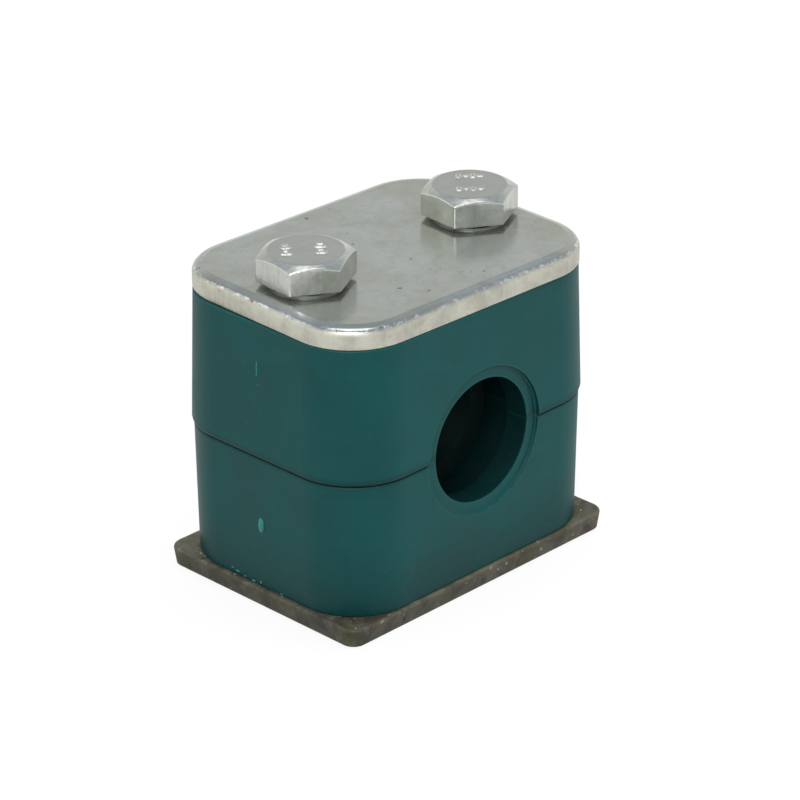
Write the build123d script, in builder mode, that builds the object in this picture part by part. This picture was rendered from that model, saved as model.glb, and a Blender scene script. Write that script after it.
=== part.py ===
from build123d import *
from math import atan, degrees, radians, tan
import os

# Hydraulic tube clamp: two plastic jaws between a weld plate and a cover plate,
# held by two hexagon bolts that screw into bushes in the weld plate.
# Millimetres. +Z is up along the bolts, X runs from bolt to bolt, Y along the tube.
# The origin is the centre of the weld plate's underside. The bolts and bushes sit
# bolt_shift towards +X of the jaws' middle, within the play of the jaws' holes.

# ---- Driving dimensions ----
# Jaws: their outline at the outer faces sets the size of the whole clamp
jaw_outer_length = 40.3
jaw_outer_width = 29.5
jaw_height = 16.1
tube_bore_dia = 14.7
bolt_end_distance = 7.25
bolt_shift = 0.4

# Weld plate
weld_end_margin = 0.65
weld_side_margin = 0.4
weld_side_slant = 0.35
weld_thickness = 2.3
weld_corner = 2.0
weld_edge_round = 0.3
weld_bottom_chamfer = 0.15

# Thread bushes, pressed into the weld plate
bush_shank_dia = 9.0
bush_collar_dia = 11.0
bush_collar_height = 6.5
bush_collar_chamfer = 0.6
bush_countersink = 0.35

# Details of the jaws
jaw_corner = 7.6
upper_draft_per_side = 0.5
lower_draft_per_side = 0.25
lip_round = 0.6
lower_split_round = 0.3
jaw_edge_round = 0.15
jaw_hole_clearance = 0.3
pocket_clearance = 0.3
pocket_depth = 7.0
mouth_recess_dia = 17.6
mouth_recess_depth = 0.15
mouth_recess_round = 0.2
land_width = 3.0
land_count = 4
groove_depth = 1.6
land_flank_angle = 20.0

# Cover plate
cover_end_inset = 0.3
cover_side_overhang = 0.25
cover_thickness = 2.6
cover_hole_dia = 7.0
cover_skew = -1.6
roll_width = 1.3
roll_depth = 0.35
roll_blend = 0.9
cover_burr_round = 0.12
cover_hole_round = 0.3

# Bolts
bolt_dia = 6.0
bolt_length = 35.0
bolt_tip_chamfer = 0.7
thread_clearance = 0.05
head_across_flats = 9.8
head_height = 4.0
head_chamfer_angle = 30.0
head_crown_dia = 9.0
washer_face_dia = 9.3
washer_face_height = 0.5
underhead_fillet = 0.25
left_head_turn = 27.0
right_head_turn = 26.0

# ---- Values that follow from them ----
bolt_x = jaw_outer_length / 2 - bolt_end_distance
weld_length = jaw_outer_length + 2 * weld_end_margin
weld_width = jaw_outer_width + 2 * weld_side_margin
cover_length = jaw_outer_length - 2 * cover_end_inset
cover_width = jaw_outer_width + 2 * cover_side_overhang
split_z = weld_thickness + jaw_height
jaws_top_z = split_z + jaw_height
cover_top_z = jaws_top_z + cover_thickness
tip_z = cover_top_z - bolt_length
left_bolt_x = bolt_shift - bolt_x
right_bolt_x = bolt_shift + bolt_x
bolt_places = ((left_bolt_x, 0), (right_bolt_x, 0))
jaw_hole_places = ((-bolt_x, 0), (bolt_x, 0))
jaw_hole_radius = bolt_dia / 2 + bolt_shift + jaw_hole_clearance
pocket_radius = bush_collar_dia / 2 + bolt_shift + pocket_clearance
bush_bore_radius = bolt_dia / 2 + thread_clearance


# ---- Weld plate: sheared steel plate, its sides slanting in below, with two holes for the bushes ----
def make_weld_plate():
    with BuildPart() as weld_plate:
        with BuildSketch(Plane.XY.offset(weld_thickness)):
            RectangleRounded(weld_length, weld_width, weld_corner)
        extrude(amount=-weld_thickness, taper=degrees(atan(weld_side_slant / weld_thickness)))
        top_face = weld_plate.faces().sort_by(Axis.Z)[-1]
        fillet(top_face.edges(), weld_edge_round)
        bottom_face = weld_plate.faces().sort_by(Axis.Z)[0]
        chamfer(bottom_face.edges(), weld_bottom_chamfer)
        with BuildSketch(Plane.XY):
            with Locations(*bolt_places):
                Circle(bush_shank_dia / 2)
        extrude(amount=weld_thickness, mode=Mode.SUBTRACT)
    weld_plate.part.label = "weld_plate"
    return weld_plate.part


# ---- Thread bush: turned collar on the plate, narrower shank pressed through it ----
def make_thread_bush(label, x):
    bush_top = weld_thickness + bush_collar_height
    with BuildPart() as bush:
        with BuildSketch(Plane.XY):
            with Locations((x, 0)):
                Circle(bush_shank_dia / 2)
        extrude(amount=weld_thickness)
        with BuildSketch(Plane.XY.offset(weld_thickness)):
            with Locations((x, 0)):
                Circle(bush_collar_dia / 2)
        extrude(amount=bush_collar_height)
        top_face = bush.faces().sort_by(Axis.Z)[-1]
        chamfer(top_face.edges(), bush_collar_chamfer)
        with Locations((x, 0, bush_top)):
            Hole(bush_bore_radius)
        bore_mouths = bush.edges().filter_by(GeomType.CIRCLE).filter_by(
            lambda rim: abs(rim.radius - bush_bore_radius) < bush_countersink
        )
        chamfer(bore_mouths, bush_countersink)
    bush.part.label = label
    return bush.part


# ---- Tube bore: the space the tube and the grooves between the lands take up ----
def make_bore_space():
    bore_radius = tube_bore_dia / 2
    recess_radius = mouth_recess_dia / 2
    jaw_half_width = jaw_outer_width / 2 + upper_draft_per_side
    land_start = jaw_outer_width / 2 - mouth_recess_depth
    groove_pitch = (2 * land_start - land_width) / (land_count - 1)
    groove_width = groove_pitch - land_width
    flank = groove_depth * tan(radians(land_flank_angle))
    across_tube = Plane(origin=(0, 0, split_z), x_dir=(1, 0, 0), z_dir=(0, 1, 0))
    along_tube = Plane(origin=(0, 0, split_z), x_dir=(0, 1, 0), z_dir=(1, 0, 0))
    with BuildPart() as space:
        with BuildSketch(across_tube):
            Circle(bore_radius)
        extrude(amount=jaw_half_width + 1, both=True)
        for side in (-1, 1):
            with BuildSketch(across_tube.offset(side * land_start)):
                Circle(recess_radius)
            extrude(amount=side * (jaw_half_width - land_start + 1))
        inner_corners = space.edges().filter_by(GeomType.CIRCLE).filter_by(
            lambda rim: abs(rim.radius - recess_radius) < 0.01
            and abs(abs(rim.center().Y) - land_start) < 0.01
        )
        fillet(inner_corners, mouth_recess_round)
        for index in range(land_count - 1):
            groove_y = groove_pitch * (index - (land_count - 2) / 2)
            with BuildSketch(along_tube):
                with BuildLine():
                    Polyline(
                        (groove_y - groove_width / 2, 0),
                        (groove_y - groove_width / 2, bore_radius),
                        (groove_y - groove_width / 2 + flank, bore_radius + groove_depth),
                        (groove_y + groove_width / 2 - flank, bore_radius + groove_depth),
                        (groove_y + groove_width / 2, bore_radius),
                        (groove_y + groove_width / 2, 0),
                        close=True,
                    )
                make_face()
            revolve(axis=Axis((0, 0, split_z), (0, 1, 0)))
    return space.part


# ---- Jaw: drafted block with half the bore, two bolt holes and two bush pockets ----
def make_jaw(label, direction, draft_per_side):
    outer_z = split_z + direction * jaw_height
    split_face = Plane.XY.offset(split_z)
    outer_face = Plane.XY.offset(outer_z)
    with BuildPart() as jaw:
        with BuildSketch(split_face):
            RectangleRounded(
                jaw_outer_length + 2 * draft_per_side,
                jaw_outer_width + 2 * draft_per_side,
                jaw_corner + draft_per_side,
            )
        with BuildSketch(outer_face):
            RectangleRounded(jaw_outer_length, jaw_outer_width, jaw_corner)
        loft()
        rims = jaw.edges().group_by(Axis.Z)
        split_rim = rims[0] if direction > 0 else rims[-1]
        outer_rim = rims[-1] if direction > 0 else rims[0]
        fillet(split_rim, lip_round if direction > 0 else lower_split_round)
        fillet(outer_rim, jaw_edge_round)
        with Locations(*jaw_hole_places):
            with Locations((0, 0, split_z)):
                Cylinder(jaw_hole_radius, 3 * jaw_height, mode=Mode.SUBTRACT)
        with BuildSketch(outer_face):
            with Locations(*jaw_hole_places):
                Circle(pocket_radius)
        extrude(amount=-direction * pocket_depth, mode=Mode.SUBTRACT)
        add(make_bore_space(), mode=Mode.SUBTRACT)
    jaw.part.label = label
    return jaw.part


# ---- Cover plate: blanked plate, its upper edge rolled over by the press ----
def make_cover_plate():
    roll_start_z = cover_top_z - roll_depth
    with BuildPart() as cover_plate:
        with BuildSketch(Plane.XY.offset(jaws_top_z)):
            RectangleRounded(cover_length, cover_width, jaw_corner, rotation=cover_skew)
        extrude(amount=cover_thickness - roll_depth)
        with BuildSketch(Plane.XY.offset(roll_start_z)):
            RectangleRounded(cover_length, cover_width, jaw_corner, rotation=cover_skew)
        extrude(amount=roll_depth, taper=degrees(atan(roll_width / roll_depth)))
        roll_start = cover_plate.edges().filter_by_position(
            Axis.Z, roll_start_z - 0.01, roll_start_z + 0.01
        )
        fillet(roll_start, roll_blend)
        fillet(cover_plate.edges().group_by(Axis.Z)[0], cover_burr_round)
        with BuildSketch(Plane.XY.offset(jaws_top_z)):
            with Locations((bolt_shift, 0)):
                with PolarLocations(bolt_x, 2, start_angle=cover_skew):
                    Circle(cover_hole_dia / 2)
        extrude(amount=cover_thickness, mode=Mode.SUBTRACT)
        hole_rims = cover_plate.faces().sort_by(Axis.Z)[-1].inner_wires().edges()
        fillet(hole_rims, cover_hole_round)
    cover_plate.part.label = "cover_plate"
    return cover_plate.part


# ---- Bolt: hexagon head with its washer face, shank and chamfered tip ----
def make_bolt(label, x, head_turn):
    head_bottom = cover_top_z + washer_face_height
    head_top = cover_top_z + head_height
    chamfer_reach = head_across_flats * 0.6
    chamfer_drop = (chamfer_reach - head_crown_dia / 2) * tan(radians(head_chamfer_angle))
    with BuildPart() as bolt:
        with BuildSketch(Plane.XY.offset(tip_z)):
            with Locations((x, 0)):
                Circle(bolt_dia / 2)
        extrude(amount=bolt_length)
        chamfer(bolt.edges().sort_by(Axis.Z)[0], bolt_tip_chamfer)
        with BuildSketch(Plane.XY.offset(cover_top_z)):
            with Locations((x, 0)):
                Circle(washer_face_dia / 2)
        extrude(amount=washer_face_height)
        with BuildSketch(Plane.XY.offset(head_bottom)):
            with Locations((x, 0)):
                RegularPolygon(head_across_flats / 2, 6, major_radius=False, rotation=head_turn)
        extrude(amount=head_top - head_bottom)
        with BuildSketch(Plane.XZ):
            with BuildLine():
                Polyline(
                    (x + head_crown_dia / 2, head_top),
                    (x + chamfer_reach, head_top),
                    (x + chamfer_reach, head_top - chamfer_drop),
                    close=True,
                )
            make_face()
        revolve(axis=Axis((x, 0, 0), (0, 0, 1)), mode=Mode.SUBTRACT)
        under_head = bolt.edges().filter_by(GeomType.CIRCLE).filter_by(
            lambda rim: abs(rim.radius - bolt_dia / 2) < 0.01 and abs(rim.center().Z - cover_top_z) < 0.01
        )
        fillet(under_head, underhead_fillet)
    bolt.part.label = label
    return bolt.part


pieces = [
    make_weld_plate(),
    make_thread_bush("thread_bush_left", left_bolt_x),
    make_thread_bush("thread_bush_right", right_bolt_x),
    make_jaw("lower_jaw", -1, lower_draft_per_side),
    make_jaw("upper_jaw", 1, upper_draft_per_side),
    make_cover_plate(),
    make_bolt("bolt_left", left_bolt_x, left_head_turn),
    make_bolt("bolt_right", right_bolt_x, right_head_turn),
]

os.makedirs("parts", exist_ok=True)
for piece in pieces:
    export_step(piece, f"parts/{piece.label}.step")
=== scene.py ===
from math import cos, pi, radians, tan

import bpy
from mathutils import Matrix, Vector


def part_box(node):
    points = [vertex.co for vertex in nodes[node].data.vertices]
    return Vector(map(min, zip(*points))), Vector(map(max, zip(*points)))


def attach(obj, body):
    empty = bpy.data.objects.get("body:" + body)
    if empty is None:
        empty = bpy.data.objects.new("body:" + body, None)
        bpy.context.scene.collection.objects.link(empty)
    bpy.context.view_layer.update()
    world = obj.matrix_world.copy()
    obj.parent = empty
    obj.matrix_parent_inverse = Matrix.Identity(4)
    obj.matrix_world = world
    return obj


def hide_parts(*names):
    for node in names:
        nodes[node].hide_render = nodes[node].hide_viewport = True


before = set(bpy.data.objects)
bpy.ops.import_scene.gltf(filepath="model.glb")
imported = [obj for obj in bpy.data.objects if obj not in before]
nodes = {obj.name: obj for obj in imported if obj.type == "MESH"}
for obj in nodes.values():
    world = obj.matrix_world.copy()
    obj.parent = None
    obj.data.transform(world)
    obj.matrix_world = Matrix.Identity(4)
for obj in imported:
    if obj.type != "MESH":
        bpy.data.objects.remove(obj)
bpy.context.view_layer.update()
scene = bpy.context.scene
mm = 0.001
print("frame loaded")


def pick(*objs):
    bpy.ops.object.select_all(action="DESELECT")
    for o in objs:
        o.select_set(True)
    bpy.context.view_layer.objects.active = objs[0]


def freeze(obj):
    # place, turn and scale go into the mesh, so the object sits at the origin
    pick(obj)
    bpy.ops.object.transform_apply(location=True, rotation=True, scale=True)


def applyAll(obj):
    pick(obj)
    for modifier in list(obj.modifiers):
        bpy.ops.object.modifier_apply(modifier=modifier.name)


def dress(obj, material):
    obj.data.materials.clear()
    obj.data.materials.append(material)
    for face in obj.data.polygons:
        face.material_index = 0


# shader helpers: each puts one or two nodes into a tree and joins their inputs
def join(tree, node, inputs):
    for key, value in inputs.items():
        if isinstance(value, bpy.types.NodeSocket):
            tree.links.new(value, node.inputs[key])
        else:
            node.inputs[key].default_value = value


def put(tree, kind, inputs=None, **settings):
    node = tree.nodes.new(kind)
    for key, value in settings.items():
        setattr(node, key, value)
    join(tree, node, inputs or {})
    return node


def calc(tree, operation, a, b=0.0, clamp=False):
    return put(tree, "ShaderNodeMath", {0: a, 1: b}, operation=operation, use_clamp=clamp).outputs[0]


def times(tree, a, b):
    return calc(tree, "MULTIPLY", a, b)


def rest(tree, value):
    # what is left of 1
    return calc(tree, "SUBTRACT", 1.0, value)


def span(tree, value, low, high, toLow=0.0, toHigh=1.0):
    inputs = {"Value": value, "From Min": low, "From Max": high, "To Min": toLow, "To Max": toHigh}
    return put(tree, "ShaderNodeMapRange", inputs, interpolation_type="SMOOTHSTEP").outputs["Result"]


def blend(tree, share, a, b):
    return put(tree, "ShaderNodeMix", {0: share, 6: a, 7: b}, data_type="RGBA").outputs[2]


def srgb(r, g, b):
    parts = [c / 255 for c in (r, g, b)]
    return tuple(c / 12.92 if c <= 0.04045 else ((c + 0.055) / 1.055) ** 2.4 for c in parts) + (1.0,)


def mottle(tree, pattern, low, high, dark, light):
    return blend(tree, span(tree, pattern, low, high), srgb(*dark), srgb(*light))


def coat(tree, under, mask, share, colour):
    # a layer of colour over what is under it, as strong as its mask times its share
    return blend(tree, times(tree, mask, share), under, srgb(*colour))


def grain(tree, vector, scale, detail=3.0, rough=0.5, distortion=0.0):
    inputs = {"Vector": vector, "Scale": scale, "Detail": detail}
    inputs |= {"Roughness": rough, "Distortion": distortion}
    return put(tree, "ShaderNodeTexNoise", inputs).outputs["Fac"]


def stretch(tree, vector, scale):
    return put(tree, "ShaderNodeMapping", {"Vector": vector, "Scale": scale}).outputs["Vector"]


def facing(tree):
    # the direction that the surface looks in, as X, Y and Z
    normal = put(tree, "ShaderNodeNewGeometry").outputs["Normal"]
    return put(tree, "ShaderNodeSeparateXYZ", {"Vector": normal}).outputs


def relief(tree, layers):
    # bumps over one another, each with its height, its strength and its depth in metres
    normal = None
    for height, strength, depth in layers:
        inputs = {"Height": height, "Strength": strength, "Distance": depth}
        if normal is not None:
            inputs["Normal"] = normal
        normal = put(tree, "ShaderNodeBump", inputs).outputs["Normal"]
    return normal


def newGroup(name, inputs):
    tree = bpy.data.node_groups.new(name, "ShaderNodeTree")
    for label, kind, value in inputs:
        socket = tree.interface.new_socket(name=label, in_out="INPUT", socket_type=kind)
        if value is not None:
            socket.default_value = value
    tree.interface.new_socket(name="Mask", in_out="OUTPUT", socket_type="NodeSocketFloat")
    entry = tree.nodes.new("NodeGroupInput")
    leave = tree.nodes.new("NodeGroupOutput")
    return tree, entry.outputs, leave.inputs["Mask"]


def useGroup(tree, group, **inputs):
    node = tree.nodes.new("ShaderNodeGroup")
    node.node_tree = group
    join(tree, node, inputs)
    return node.outputs["Mask"]


def newMaterial(name):
    material = bpy.data.materials.new(name)
    material.use_nodes = True
    tree = material.node_tree
    shader = tree.nodes["Principled BSDF"]
    place = put(tree, "ShaderNodeTexCoord").outputs["Object"]
    return material, tree, shader, place


# shared effects
def makeEdgeGroup():
    # 1 along sharp edges, broken up by noise
    t, given, mask = newGroup("worn edge", [
        ("Vector", "NodeSocketVector", None),
        ("Radius", "NodeSocketFloat", 0.3 * mm),
        ("Breakup", "NodeSocketFloat", 0.5),
    ])
    normal = put(t, "ShaderNodeNewGeometry").outputs["Normal"]
    rounded = put(t, "ShaderNodeBevel", {"Radius": given["Radius"]}, samples=6).outputs["Normal"]
    same = put(t, "ShaderNodeVectorMath", {0: rounded, 1: normal}, operation="DOT_PRODUCT").outputs["Value"]
    edge = span(t, rest(t, same), 0.01, 0.12)
    patches = span(t, grain(t, given["Vector"], 900.0, 4.0, 0.6), 0.35, 0.62)
    kept = rest(t, times(t, given["Breakup"], rest(t, patches)))
    t.links.new(calc(t, "MULTIPLY", edge, kept, clamp=True), mask)
    return t


def makeScratchGroup():
    # thin straight lines in one direction, only here and there
    t, given, mask = newGroup("scratches", [
        ("Vector", "NodeSocketVector", None),
        ("Angle", "NodeSocketFloat", 0.0),
        ("Density", "NodeSocketFloat", 0.5),
    ])
    turning = {"Vector": given["Vector"], "Angle": given["Angle"]}
    turned = put(t, "ShaderNodeVectorRotate", turning, rotation_type="Z_AXIS").outputs["Vector"]
    line = span(t, grain(t, stretch(t, turned, (260.0, 5200.0, 400.0)), 1.0, 2.0, 0.5, 0.3), 0.66, 0.72)
    least = calc(t, "SUBTRACT", 0.75, times(t, given["Density"], 0.3))
    where = span(t, grain(t, given["Vector"], 260.0, 2.0), least, 0.8)
    t.links.new(calc(t, "MULTIPLY", line, where, clamp=True), mask)
    return t


def makePitGroup():
    # small spots of uneven size and outline
    t, given, mask = newGroup("pits", [
        ("Vector", "NodeSocketVector", None),
        ("Scale", "NodeSocketFloat", 900.0),
        ("Share", "NodeSocketFloat", 0.3),
    ])
    noise = {"Vector": given["Vector"], "Scale": 1400.0, "Detail": 2.0}
    wobble = put(t, "ShaderNodeTexNoise", noise).outputs["Color"]
    reach = (0.6 * mm, 0.6 * mm, 0.6 * mm)
    bending = {0: wobble, 1: reach, 2: given["Vector"]}
    bent = put(t, "ShaderNodeVectorMath", bending, operation="MULTIPLY_ADD").outputs["Vector"]
    cells = put(t, "ShaderNodeTexVoronoi", {"Vector": bent, "Scale": given["Scale"]}, feature="F1")
    chance = put(t, "ShaderNodeSeparateColor", {"Color": cells.outputs["Color"]}).outputs["Red"]
    size = times(t, calc(t, "SUBTRACT", given["Share"], chance, clamp=True), 1.2)
    spot = span(t, calc(t, "SUBTRACT", size, cells.outputs["Distance"]), -0.02, 0.10)
    t.links.new(calc(t, "MULTIPLY", spot, calc(t, "LESS_THAN", chance, given["Share"]), clamp=True), mask)
    return t


edgeGroup = makeEdgeGroup()
scratchGroup = makeScratchGroup()
pitGroup = makePitGroup()
print("shader groups ready")


# Finishes: colours are in 0 to 255. A pair of lengths says where an effect starts and where it is full.
plasticLook = {
    "deep": (13, 71, 71),
    "light": (17, 78, 78),
    "flow": (22, 84, 82),
    "paintedShade": (1, 14, 16),
    "splitShadow": (4, 34, 35),
    "unlit": (1, 13, 14),
    "dust": (120, 150, 144),
    "rubbed": (36, 118, 110),
    "scratch": (70, 130, 124),
    "fromBoreAxis": (9.4 * mm, 9.0 * mm),
    "alongBore": (14.65 * mm, 14.3 * mm),
    "offSplit": (0.02 * mm, 0.1 * mm),
    "aboveSplit": (-7.0 * mm, -14.0 * mm),
    "splitLine": (0.9 * mm, 0.1 * mm),
    "splitLineUp": 0.25 * mm,
    "shadeReach": 14.0 * mm,
}
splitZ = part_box("upper_jaw")[0].z


def makePlastic():
    # moulded plastic: dark green with cloudy flow, painted shade in the bore, towards the foot and in
    # hollows, a painted shadow along the split, dust and pale rubbed edges
    look = plasticLook
    material, t, shader, place = newMaterial("jaw plastic")
    cloud = grain(t, place, 120.0, 4.0, 0.55, 0.4)
    flow = grain(t, stretch(t, place, (60.0, 60.0, 240.0)), 1.0, 3.0, 0.5, 0.8)
    tone = mottle(t, cloud, 0.3, 0.7, look["deep"], look["light"])
    tone = coat(t, tone, span(t, flow, 0.5, 0.72), 0.25, look["flow"])

    # painted shade in the bore and towards the foot, a painted shadow along the split, and painted shade
    # wherever little light reaches
    at = put(t, "ShaderNodeSeparateXYZ", {"Vector": place}).outputs
    upFromSplit = calc(t, "SUBTRACT", at["Z"], splitZ)
    squares = calc(t, "ADD", calc(t, "POWER", at["X"], 2.0), calc(t, "POWER", upFromSplit, 2.0))
    roundBore = span(t, calc(t, "SQRT", squares), *look["fromBoreAxis"])
    inBore = times(t, roundBore, span(t, calc(t, "ABSOLUTE", at["Y"]), *look["alongBore"]))
    offSplit = span(t, calc(t, "ABSOLUTE", upFromSplit), *look["offSplit"])
    # painted shade: the bore's walls darkened, as the jaws keep the light out of it
    tone = coat(t, tone, times(t, inBore, offSplit), 0.72, look["paintedShade"])
    # painted shade: the lower jaw darker towards its foot
    tone = coat(t, tone, span(t, upFromSplit, *look["aboveSplit"]), 0.12, look["paintedShade"])
    # painted shadow: a soft dark band along the split, where the upper jaw's lip overhangs
    fromLine = calc(t, "ABSOLUTE", calc(t, "SUBTRACT", upFromSplit, look["splitLineUp"]))
    tone = coat(t, tone, span(t, fromLine, *look["splitLine"]), 0.42, look["splitShadow"])
    # painted shade: darkened where ambient occlusion finds the surface hemmed in
    hollow = put(t, "ShaderNodeAmbientOcclusion", {"Distance": look["shadeReach"]}, samples=8).outputs["AO"]
    tone = blend(t, span(t, hollow, 0.9, 0.16), tone, srgb(*look["unlit"]))

    dust = span(t, grain(t, place, 2600.0, 2.0, 0.6), 0.66, 0.76)
    tone = coat(t, tone, dust, 0.10, look["dust"])
    rub = useGroup(t, edgeGroup, Vector=place, Radius=0.4 * mm, Breakup=0.7)
    rub = times(t, rub, rest(t, times(t, inBore, 0.85)))
    tone = coat(t, tone, rub, 0.35, look["rubbed"])
    marks = useGroup(t, scratchGroup, Vector=place, Angle=0.5, Density=0.15)
    tone = coat(t, tone, marks, 0.18, look["scratch"])
    t.links.new(tone, shader.inputs["Base Color"])
    t.links.new(span(t, cloud, 0.2, 0.8, 0.42, 0.54), shader.inputs["Roughness"])
    shader.inputs["Specular IOR Level"].default_value = 0.2
    fine = grain(t, place, 5200.0, 2.0, 0.6)
    swell = grain(t, place, 160.0, 2.0, 0.4)
    layers = ((fine, 0.10, 0.02 * mm), (swell, 0.35, 0.2 * mm))
    t.links.new(relief(t, layers), shader.inputs["Normal"])
    return material


coverLook = {
    "topDark": (168, 171, 160),
    "topLight": (182, 187, 185),
    "clouds": (148, 150, 140),
    "haze": (156, 160, 152),
    "dust": (150, 152, 146),
    "pits": (92, 90, 82),
    "scratches": (222, 224, 220),
    "flankDark": (182, 181, 168),
    "flankLight": (204, 204, 191),
    "shear": (212, 210, 198),
    "stain": (176, 150, 132),
    "burnishAndHighlight": (236, 238, 238),
    "metallic": 0.88,
    "flankRoughness": 0.48,
}


def makeCoverZinc():
    # zinc on the cover plate: grey top with pits and scratches, a bright broken rim that is partly burnish
    # and partly a painted highlight, bright sheared flanks with upright lines
    look = coverLook
    material, t, shader, place = newMaterial("cover zinc")
    upright = calc(t, "ABSOLUTE", facing(t)["Z"])
    side = span(t, upright, 0.75, 0.35)
    cloud = grain(t, place, 90.0, 4.0, 0.6, 0.6)
    middleCloud = grain(t, place, 230.0, 5.0, 0.7, 0.8)
    fineCloud = grain(t, place, 700.0, 5.0, 0.65)
    dust = grain(t, place, 4200.0, 3.0, 0.7)
    top = mottle(t, cloud, 0.32, 0.68, look["topDark"], look["topLight"])
    top = coat(t, top, span(t, middleCloud, 0.5, 0.66), 0.3, look["clouds"])
    top = coat(t, top, span(t, fineCloud, 0.48, 0.7), 0.35, look["haze"])
    top = coat(t, top, span(t, dust, 0.5, 0.75), 0.3, look["dust"])
    pits = useGroup(t, pitGroup, Vector=place, Scale=620.0, Share=0.18)
    smallPits = useGroup(t, pitGroup, Vector=place, Scale=1900.0, Share=0.22)
    pitted = calc(t, "MAXIMUM", pits, times(t, smallPits, 0.6))
    top = coat(t, top, pitted, 0.65, look["pits"])
    linesAlong = useGroup(t, scratchGroup, Vector=place, Angle=0.35, Density=0.7)
    linesAcross = useGroup(t, scratchGroup, Vector=place, Angle=1.9, Density=0.55)
    top = coat(t, top, calc(t, "MAXIMUM", linesAlong, linesAcross), 0.5, look["scratches"])

    shear = grain(t, stretch(t, place, (2600.0, 2600.0, 60.0)), 1.0, 3.0, 0.6)
    patch = grain(t, place, 420.0, 4.0, 0.65)
    flank = mottle(t, patch, 0.32, 0.66, look["flankDark"], look["flankLight"])
    flank = coat(t, flank, span(t, shear, 0.42, 0.7), 0.35, look["shear"])
    stain = span(t, grain(t, stretch(t, place, (500.0, 500.0, 1500.0)), 1.0, 4.0, 0.7), 0.55, 0.68)
    flank = coat(t, flank, stain, 0.3, look["stain"])
    # a bright broken line along the rolled rim: partly burnished wear, partly a painted highlight
    rim = times(t, span(t, upright, 0.93, 0.8), rest(t, side))
    burnishAndHighlight = times(t, rim, span(t, grain(t, place, 1300.0, 3.0, 0.6), 0.5, 0.6))
    top = coat(t, top, burnishAndHighlight, 0.7, look["burnishAndHighlight"])
    t.links.new(blend(t, side, top, flank), shader.inputs["Base Color"])

    shader.inputs["Metallic"].default_value = look["metallic"]
    roughTop = calc(t, "ADD", span(t, cloud, 0.25, 0.75, 0.15, 0.23), times(t, pitted, 0.25))
    rough = put(t, "ShaderNodeMix", {0: side, 2: roughTop, 3: look["flankRoughness"]}, data_type="FLOAT")
    t.links.new(rough.outputs[0], shader.inputs["Roughness"])
    layers = (
        (grain(t, place, 210.0, 2.0, 0.4), 0.25, 0.25 * mm),
        (rest(t, pitted), 0.5, 0.03 * mm),
        (times(t, shear, side), 0.35, 0.05 * mm),
        (fineCloud, 0.2, 0.03 * mm),
    )
    t.links.new(relief(t, layers), shader.inputs["Normal"])
    return material


boltLook = {
    "dull": (176, 180, 173),
    "bright": (202, 204, 197),
    "streaks": (140, 143, 134),
    "haze": (166, 168, 158),
    "spots": (110, 110, 102),
    "crown": (160, 163, 158),
    "worn": (236, 236, 230),
    "metallic": 0.85,
}


def makeBoltZinc():
    # zinc on the bolts: brighter and smoother, painted shade darkening the crown, and worn corners that also
    # carry a painted highlight
    look = boltLook
    material, t, shader, place = newMaterial("bolt zinc")
    cloud = grain(t, place, 260.0, 4.0, 0.6, 0.4)
    fineCloud = grain(t, place, 1500.0, 4.0, 0.6)
    streak = grain(t, stretch(t, place, (1500.0, 1500.0, 320.0)), 1.0, 4.0, 0.65)
    tone = mottle(t, cloud, 0.3, 0.7, look["dull"], look["bright"])
    tone = coat(t, tone, span(t, streak, 0.5, 0.68), 0.35, look["streaks"])
    tone = coat(t, tone, span(t, fineCloud, 0.5, 0.75), 0.3, look["haze"])
    spots = useGroup(t, pitGroup, Vector=place, Scale=1500.0, Share=0.15)
    tone = coat(t, tone, spots, 0.5, look["spots"])
    # painted shade: the flat top of each head darkened, where it faces up
    tone = coat(t, tone, span(t, facing(t)["Z"], 0.92, 1.0), 0.8, look["crown"])
    # worn corners, partly real wear and partly a painted highlight: the edges and raised marks brightened
    # into glints
    worn = useGroup(t, edgeGroup, Vector=place, Radius=0.3 * mm, Breakup=0.4)
    tone = coat(t, tone, worn, 0.7, look["worn"])
    t.links.new(tone, shader.inputs["Base Color"])
    shader.inputs["Metallic"].default_value = look["metallic"]
    t.links.new(span(t, cloud, 0.25, 0.75, 0.16, 0.26), shader.inputs["Roughness"])
    layers = ((grain(t, place, 420.0, 2.0), 0.3, 0.2 * mm), (fineCloud, 0.25, 0.03 * mm))
    t.links.new(relief(t, layers), shader.inputs["Normal"])
    return material


scaleLook = {
    "dark": (56, 55, 48),
    "light": (99, 97, 86),
    "olive": (76, 74, 50),
    "rust": (108, 84, 64),
    "specks": (164, 166, 154),
    "chalk": (152, 150, 138),
    "pits": (30, 30, 26),
    "worn": (142, 138, 124),
    "metallic": 0.15,
    "specular": 0.25,
}


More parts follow.
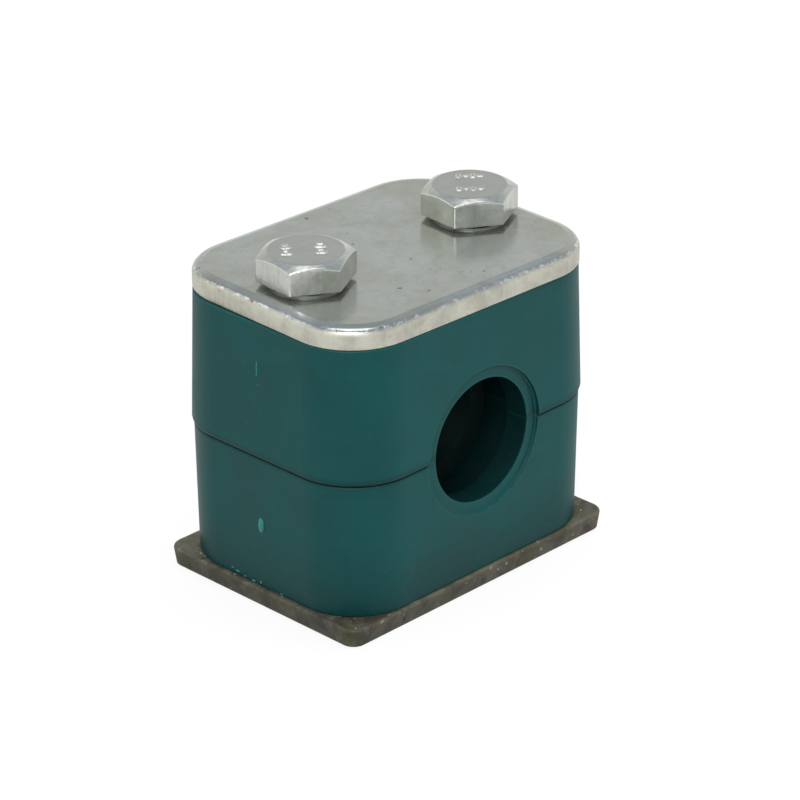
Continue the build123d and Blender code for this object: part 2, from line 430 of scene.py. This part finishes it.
def makeMillScale():
    # weld plate: dark mill scale with rust bloom, pale specks and rubbed edges
    look = scaleLook
    material, t, shader, place = newMaterial("mill scale")
    cloud = grain(t, place, 260.0, 5.0, 0.68, 0.6)
    fleck = grain(t, place, 1100.0, 4.0, 0.7)
    tone = mottle(t, cloud, 0.36, 0.64, look["dark"], look["light"])
    olive = span(t, grain(t, place, 420.0, 4.0, 0.7), 0.48, 0.64)
    tone = coat(t, tone, olive, 0.55, look["olive"])
    rust = times(t, span(t, grain(t, place, 330.0, 4.0, 0.7), 0.50, 0.64), span(t, fleck, 0.45, 0.6))
    tone = coat(t, tone, rust, 0.5, look["rust"])
    specks = useGroup(t, pitGroup, Vector=place, Scale=1500.0, Share=0.3)
    tone = coat(t, tone, specks, 0.65, look["specks"])
    chalk = times(t, span(t, grain(t, place, 2600.0, 3.0, 0.7), 0.58, 0.7), span(t, cloud, 0.48, 0.62))
    tone = coat(t, tone, chalk, 0.5, look["chalk"])
    pits = useGroup(t, pitGroup, Vector=place, Scale=800.0, Share=0.25)
    tone = coat(t, tone, pits, 0.6, look["pits"])
    worn = useGroup(t, edgeGroup, Vector=place, Radius=0.5 * mm, Breakup=0.85)
    tone = coat(t, tone, worn, 0.7, look["worn"])
    t.links.new(tone, shader.inputs["Base Color"])
    shader.inputs["Metallic"].default_value = look["metallic"]
    shader.inputs["Specular IOR Level"].default_value = look["specular"]
    t.links.new(span(t, cloud, 0.25, 0.75, 0.5, 0.72), shader.inputs["Roughness"])
    t.links.new(relief(t, ((cloud, 0.4, 0.1 * mm), (fleck, 0.4, 0.05 * mm))), shader.inputs["Normal"])
    return material


turnedLook = {
    "dark": (150, 150, 146),
    "light": (172, 172, 168),
    "rings": (112, 112, 108),
    "metallic": 0.95,
}


def makeTurnedSteel():
    # turned steel of the bushes: fine rings, one above another
    look = turnedLook
    material, t, shader, place = newMaterial("turned steel")
    cloud = grain(t, place, 300.0, 3.0)
    rings = grain(t, stretch(t, place, (120.0, 120.0, 6000.0)), 1.0, 2.0)
    tone = mottle(t, cloud, 0.3, 0.7, look["dark"], look["light"])
    tone = coat(t, tone, span(t, rings, 0.5, 0.65), 0.4, look["rings"])
    t.links.new(tone, shader.inputs["Base Color"])
    shader.inputs["Metallic"].default_value = look["metallic"]
    t.links.new(span(t, rings, 0.3, 0.7, 0.25, 0.42), shader.inputs["Roughness"])
    t.links.new(relief(t, ((rings, 0.3, 0.03 * mm),)), shader.inputs["Normal"])
    return material


def makeBurrGreen():
    # burrs and the cut gate: the same plastic, stretched and whitened
    material, t, shader, place = newMaterial("torn plastic")
    cloud = grain(t, place, 1600.0, 3.0, 0.6)
    tone = mottle(t, cloud, 0.3, 0.7, (20, 108, 98), (40, 140, 125))
    t.links.new(tone, shader.inputs["Base Color"])
    t.links.new(span(t, cloud, 0.3, 0.7, 0.3, 0.5), shader.inputs["Roughness"])
    t.links.new(relief(t, ((cloud, 0.5, 0.1 * mm),)), shader.inputs["Normal"])
    return material


plastic = makePlastic()
coverZinc = makeCoverZinc()
boltZinc = makeBoltZinc()
millScale = makeMillScale()
turnedSteel = makeTurnedSteel()
burrGreen = makeBurrGreen()
print("materials ready")


nodeLooks = {
    "weld_plate": (millScale, "plate_steel"),
    "thread_bush_left": (turnedSteel, "bush_steel"),
    "thread_bush_right": (turnedSteel, "bush_steel"),
    "lower_jaw": (plastic, "jaw_plastic"),
    "upper_jaw": (plastic, "jaw_plastic"),
    "cover_plate": (coverZinc, "cover_zinc"),
}
for name, (material, slotName) in nodeLooks.items():
    dress(nodes[name], material)
print("CAD pieces dressed")


# Bolts: a forged head with chamfered corners and raised marks, and a rolled thread on the lower part.
# Their lengths are in millimetres, and each bolt is scaled down once it is whole.
bolt = {
    "acrossFlats": 9.8,
    "crown": 8.5,
    "crownSlope": 25.0,
    "washerDia": 7.9,
    "washerHeight": 0.5,
    "major": 5.92,
    "minor": 4.85,
    "pitch": 1.0,
    "threadLength": 18.0,
    "runIn": 0.9,
    "tipHeight": 0.7,
    "tipInset": 0.15,
    "crestRound": 0.02,
    "voxel": 0.085,
    "marks": ((0.42, 1.1), (0.42, 0.5), (0.42, 1.1), (0.5, 0.5)),
    "markPitch": 0.82,
    "markRow": 1.9,
    "markShift": 0.3,
    "markHeight": 0.2,
    "markDepth": 0.4,
    "smoothing": 6,
    "sharpAngle": 32.0,
}
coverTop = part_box("cover_plate")[1].z / mm


def buildHead(x, top, turn, markTurn):
    crownTop = top - bolt["markHeight"]
    washerTop = coverTop + bolt["washerHeight"]
    headHeight = top - coverTop
    slope = tan(radians(bolt["crownSlope"]))
    # turn is the angle from X to a corner of the hexagon, whose first corner is made on Y
    bpy.ops.mesh.primitive_cylinder_add(
        vertices=6,
        radius=bolt["acrossFlats"] / 2 / cos(pi / 6),
        depth=crownTop - washerTop,
        location=(x, 0, (crownTop + washerTop) / 2),
        rotation=(0, 0, radians(turn - 30)),
    )
    head = bpy.context.object
    freeze(head)
    # a flat cone takes the upper corners away
    above = 1.0
    bpy.ops.mesh.primitive_cone_add(
        vertices=96,
        radius1=bolt["crown"] / 2 + headHeight / slope,
        radius2=bolt["crown"] / 2 - above / slope,
        depth=headHeight + above,
        location=(x, 0, crownTop + above / 2 - headHeight / 2),
    )
    cone = bpy.context.object
    freeze(cone)
    cut = head.modifiers.new("cone", "BOOLEAN")
    cut.operation = "INTERSECT"
    cut.solver = "EXACT"
    cut.object = cone
    applyAll(head)
    bpy.data.objects.remove(cone)
    forged = [head]
    bpy.ops.mesh.primitive_cylinder_add(
        vertices=96,
        radius=bolt["washerDia"] / 2,
        depth=bolt["washerHeight"] * 2,
        location=(x, 0, washerTop),
    )
    forged.append(bpy.context.object)

    # raised marks of the forging die: two rows of short bars and dots
    spin = radians(markTurn)
    middle = (len(bolt["marks"]) - 1) / 2
    for across in (-bolt["markRow"], bolt["markRow"]):
        for index, (width, length) in enumerate(bolt["marks"]):
            local = Vector(((index - middle) * bolt["markPitch"], across + bolt["markShift"], 0))
            local.rotate(Matrix.Rotation(spin, 3, "Z"))
            bpy.ops.mesh.primitive_cube_add(
                size=1,
                location=(x + local.x, local.y, top - bolt["markDepth"] / 2),
                rotation=(0, 0, spin),
                scale=(width, length, bolt["markDepth"]),
            )
            forged.append(bpy.context.object)
    pick(*forged)
    bpy.ops.object.join()
    head = bpy.context.object
    melt = head.modifiers.new("melt", "REMESH")
    melt.mode = "VOXEL"
    melt.voxel_size = bolt["voxel"]
    ease = head.modifiers.new("ease", "SMOOTH")
    ease.factor = 0.5
    ease.iterations = bolt["smoothing"]
    applyAll(head)
    return head


def buildShank(x, low):
    # plain shank down to the thread, and the tip below it
    threadTop = low + bolt["threadLength"]
    bpy.ops.mesh.primitive_cylinder_add(
        vertices=64,
        radius=bolt["major"] / 2,
        depth=coverTop - threadTop,
        location=(x, 0, (coverTop + threadTop) / 2),
    )
    shank = bpy.context.object
    bpy.ops.mesh.primitive_cone_add(
        vertices=64,
        radius1=bolt["minor"] / 2 - bolt["tipInset"],
        radius2=bolt["major"] / 2,
        depth=bolt["tipHeight"],
        location=(x, 0, low + bolt["tipHeight"] / 2),
    )
    return [shank, bpy.context.object]


def buildThread(x, low):
    # one tooth outline as radius and share of the pitch, wound up the shank
    root = bolt["minor"] / 2
    crest = bolt["major"] / 2
    shoulder = crest - bolt["crestRound"]
    pitch = bolt["pitch"]
    start = low + bolt["tipHeight"] - bolt["runIn"] * pitch
    tooth = ((root, 0.0), (root, 0.10), (shoulder, 0.47), (crest, 0.50),
             (crest, 0.56), (shoulder, 0.59), (root, 0.96), (root, 1.0))
    mesh = bpy.data.meshes.new("tooth")
    points = [(radius, 0, start + share * pitch) for radius, share in tooth]
    edges = [(i, i + 1) for i in range(len(tooth) - 1)]
    mesh.from_pydata(points, edges, [])
    thread = bpy.data.objects.new("thread", mesh)
    scene.collection.objects.link(thread)
    wind = thread.modifiers.new("wind", "SCREW")
    wind.axis = "Z"
    wind.angle = 2 * pi
    wind.screw_offset = pitch
    wind.steps = 48
    wind.render_steps = 48
    wind.iterations = int(bolt["threadLength"] / pitch)
    wind.use_merge_vertices = True
    wind.merge_threshold = 0.002
    applyAll(thread)
    thread.location.x = x
    freeze(thread)
    return thread


def buildBolt(node, turn, markTurn):
    low, high = [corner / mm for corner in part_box(node)]
    x = (low.x + high.x) / 2
    parts = [buildHead(x, high.z, turn, markTurn), *buildShank(x, low.z), buildThread(x, low.z)]
    pick(*parts)
    bpy.ops.object.join()
    whole = bpy.context.object
    whole.name = node + "_shape"
    whole.scale = (mm, mm, mm)
    freeze(whole)
    bpy.ops.object.shade_smooth_by_angle(angle=radians(bolt["sharpAngle"]))
    dress(whole, boltZinc)
    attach(whole, node)
    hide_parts(node)


buildBolt("bolt_left", 27.0, 50.0)
buildBolt("bolt_right", 26.0, -45.0)
print("bolts built")


# Torn plastic: a fine grain moves the surface in and out, by half of each depth either way
torn = {
    "grain": 0.35 * mm,
    "gateDepth": 0.16 * mm,
    "burrDepth": 0.09 * mm,
}
tornGrain = bpy.data.textures.new("torn grain", "CLOUDS")
tornGrain.noise_scale = torn["grain"]


def tear(piece, depth):
    rough = piece.modifiers.new("torn", "DISPLACE")
    rough.texture = tornGrain
    rough.texture_coords = "LOCAL"
    rough.strength = depth
    applyAll(piece)
    bpy.ops.object.shade_smooth()


# remains of the moulding gate on the jaws' short faces: centre, and half sizes in millimetres
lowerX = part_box("lower_jaw")[0].x
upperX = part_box("upper_jaw")[0].x
gates = {
    "gate_mark_lower": {
        "body": "base",
        "at": (lowerX + 0.14 * mm, -0.26 * mm, 10.1 * mm),
        "size": (0.24, 0.42, 0.95),
    },
    "gate_mark_upper": {
        "body": "top",
        "at": (upperX + 0.38 * mm, -0.07 * mm, 29.15 * mm),
        "size": (0.11, 0.10, 1.05),
    },
}
for name, g in gates.items():
    bpy.ops.mesh.primitive_uv_sphere_add(segments=48, ring_count=32, radius=1, location=g["at"])
    blob = bpy.context.object
    blob.name = name
    blob.scale = [size * mm for size in g["size"]]
    freeze(blob)
    tear(blob, torn["gateDepth"])
    dress(blob, burrGreen)
    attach(blob, g["body"])

# Burrs left by the mould along the foot of the lower jaw, and smears below the upper gate.
# Each spot has its Y, its Z, half its width and half its height, in millimetres.
burrs = {
    "mould_burrs": {
        "body": "base",
        "x": lowerX + 0.24 * mm,
        "depth": 0.08,
        "spots": (
            (4.7, 3.0, 0.22, 0.10), (3.9, 2.8, 0.30, 0.12), (2.7, 2.6, 0.16, 0.10),
            (1.3, 2.55, 0.26, 0.10), (0.1, 2.75, 0.12, 0.22), (-3.2, 2.5, 0.20, 0.08),
        ),
    },
    "gate_smears": {
        "body": "top",
        "x": upperX + 0.31 * mm,
        "depth": 0.07,
        "spots": (
            (-0.35, 27.4, 0.14, 0.10), (-0.45, 26.1, 0.20, 0.10),
            (-0.75, 25.8, 0.12, 0.12), (-0.2, 25.9, 0.10, 0.10),
        ),
    },
}
for name, b in burrs.items():
    bits = []
    for y, z, halfWidth, halfHeight in b["spots"]:
        bpy.ops.mesh.primitive_ico_sphere_add(subdivisions=3, radius=1, location=(b["x"], y * mm, z * mm))
        bit = bpy.context.object
        bit.scale = [size * mm for size in (b["depth"], halfWidth, halfHeight)]
        bits.append(bit)
    pick(*bits)
    bpy.ops.object.join()
    cluster = bpy.context.object
    cluster.name = name
    freeze(cluster)
    tear(cluster, torn["burrDepth"])
    dress(cluster, burrGreen)
    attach(cluster, b["body"])
print("gate marks and burrs built")


# Floor: pale, and so bright to the eye and in metal that only the object's own shadow shows on it
floorLook = {
    "seen": (0.85, 0.85, 0.85, 1),
    "thrown": (0.24, 0.24, 0.24, 1),
    "glow": 0.88,
    "side": 3.0,
    "drop": 0.02 * mm,
}
floorWhite, t, shader, place = newMaterial("floor white")
shader.inputs["Roughness"].default_value = 0.9
shader.inputs["Specular IOR Level"].default_value = 0.1
ray = put(t, "ShaderNodeLightPath").outputs
pale = blend(t, ray["Is Camera Ray"], floorLook["thrown"], floorLook["seen"])
t.links.new(pale, shader.inputs["Base Color"])
seen = calc(t, "MAXIMUM", ray["Is Camera Ray"], ray["Is Glossy Ray"])
plain = put(t, "ShaderNodeEmission", {"Color": (1, 1, 1, 1), "Strength": 1.0}).outputs[0]
mixed = put(t, "ShaderNodeMixShader", {0: times(t, seen, floorLook["glow"]), 1: shader.outputs[0], 2: plain})
t.links.new(mixed.outputs[0], t.nodes["Material Output"].inputs["Surface"])
bpy.ops.mesh.primitive_plane_add(size=floorLook["side"], location=(0, 0, -floorLook["drop"]))
floor = bpy.context.object
floor.name = "floor"
dress(floor, floorWhite)

# Surroundings: a soft tent lights the object, the eye sees plain white, and metal mirrors a studio
# with a pale wall, a blue grey ceiling, a bright patch overhead and a window at the side
studio = {
    "tentLow": (0.30, 0.31, 0.32, 1),
    "tentHigh": (0.62, 0.62, 0.62, 1),
    "wallLow": (0.9, 0.9, 0.9, 1),
    "wallHigh": (0.70, 0.71, 0.70, 1),
    "ceiling": (0.38, 0.44, 0.52, 1),
    "overhead": (2.4, 2.4, 2.4, 1),
    "window": (1.1, 1.1, 1.06, 1),
    "windowTowards": (-0.60, 0.68, 0.42),
    "background": (1, 1, 1, 1),
}
world = bpy.data.worlds.new("studio")
scene.world = world
world.use_nodes = True
t = world.node_tree
direction = put(t, "ShaderNodeTexCoord").outputs["Generated"]
upward = put(t, "ShaderNodeSeparateXYZ", {"Vector": direction}).outputs["Z"]
tent = blend(t, span(t, upward, -0.05, 0.9), studio["tentLow"], studio["tentHigh"])
wall = blend(t, span(t, upward, 0.0, 0.4), studio["wallLow"], studio["wallHigh"])
shine = blend(t, span(t, upward, 0.48, 0.8), wall, studio["ceiling"])
shine = blend(t, span(t, upward, 0.93, 0.975), shine, studio["overhead"])
aside = put(t, "ShaderNodeVectorMath", {0: direction, 1: studio["windowTowards"]}, operation="DOT_PRODUCT")
shine = blend(t, span(t, aside.outputs["Value"], 0.84, 0.95), shine, studio["window"])
ray = put(t, "ShaderNodeLightPath").outputs
thrown = blend(t, ray["Is Glossy Ray"], tent, shine)
whole = blend(t, ray["Is Camera Ray"], thrown, studio["background"])
t.links.new(whole, t.nodes["Background"].inputs["Color"])

lamps = {
    "front left": {"at": (-0.45, -0.35, 0.42), "size": 0.35, "power": 2.6, "inMetal": True},
    "overhead": {"at": (0.05, 0.05, 0.75), "size": 0.45, "power": 3.2, "inMetal": False},
    "right": {"at": (0.5, -0.45, 0.3), "size": 0.4, "power": 1.9, "inMetal": False},
}
for name, lamp in lamps.items():
    bpy.ops.object.light_add(type="AREA", location=lamp["at"])
    light = bpy.context.object
    light.name = name
    light.data.size = lamp["size"]
    light.data.energy = lamp["power"]
    light.visible_glossy = lamp["inMetal"]
    light.rotation_euler = Vector(lamp["at"]).to_track_quat("Z", "Y").to_euler()

view = {
    "azimuth": -45.44,
    "elevation": 25.79,
    "roll": -0.24,
    "at": (-0.26932, -0.26714, 0.20169),
    "lens": 167.39,
    "sensor": 36,
    "near": 0.02,
    "far": 5,
}
bpy.ops.object.camera_add(location=view["at"])
camera = bpy.context.object
camera.name = "camera"
sideways = Matrix.Rotation(radians(view["azimuth"]), 3, "Z")
tilted = Matrix.Rotation(pi / 2 - radians(view["elevation"]), 3, "X")
rolled = Matrix.Rotation(radians(view["roll"]), 3, "Z")
camera.rotation_euler = (sideways @ tilted @ rolled).to_euler()
camera.data.sensor_width = view["sensor"]
camera.data.lens = view["lens"]
camera.data.clip_start = view["near"]
camera.data.clip_end = view["far"]
scene.camera = camera
scene.view_settings.view_transform = "Standard"
print("floor, light and camera set")
